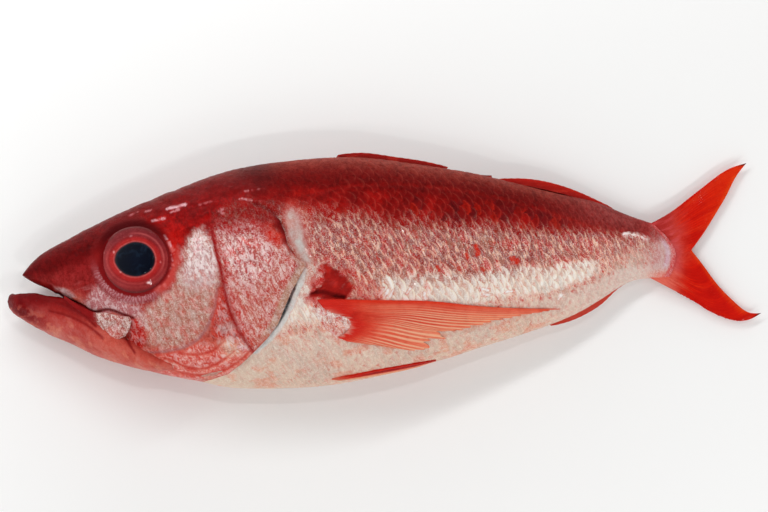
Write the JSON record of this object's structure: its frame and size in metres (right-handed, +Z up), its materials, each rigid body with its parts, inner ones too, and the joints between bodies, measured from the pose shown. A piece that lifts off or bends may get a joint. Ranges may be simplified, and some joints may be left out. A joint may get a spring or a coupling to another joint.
{
  "type": "whole raw fish",
  "caption": "Whole raw red sea fish lying on its side: large eye, open mouth, scaled deep body, folded fins and forked tail",
  "frame": {"origin": "on the surface the fish lies on, below the middle of its outline", "axes": "+X from the head to the tail, +Y from the belly to the back, +Z up, out of the left flank"},
  "size_m": [0.3996, 0.1255, 0.0612],
  "materials": {
    "skin": "wet, glossy scales, dark red back to silvery pink belly",
    "head": "wet, smooth dark red skin with silvery cheeks",
    "fin": "wet, thin orange-red rays and skin",
    "eye": "wet, clear, very glossy over a dark blue pupil"
  },
  "bodies": {
    "root": {"fish": "skin"}
  },
  "joints": []
}
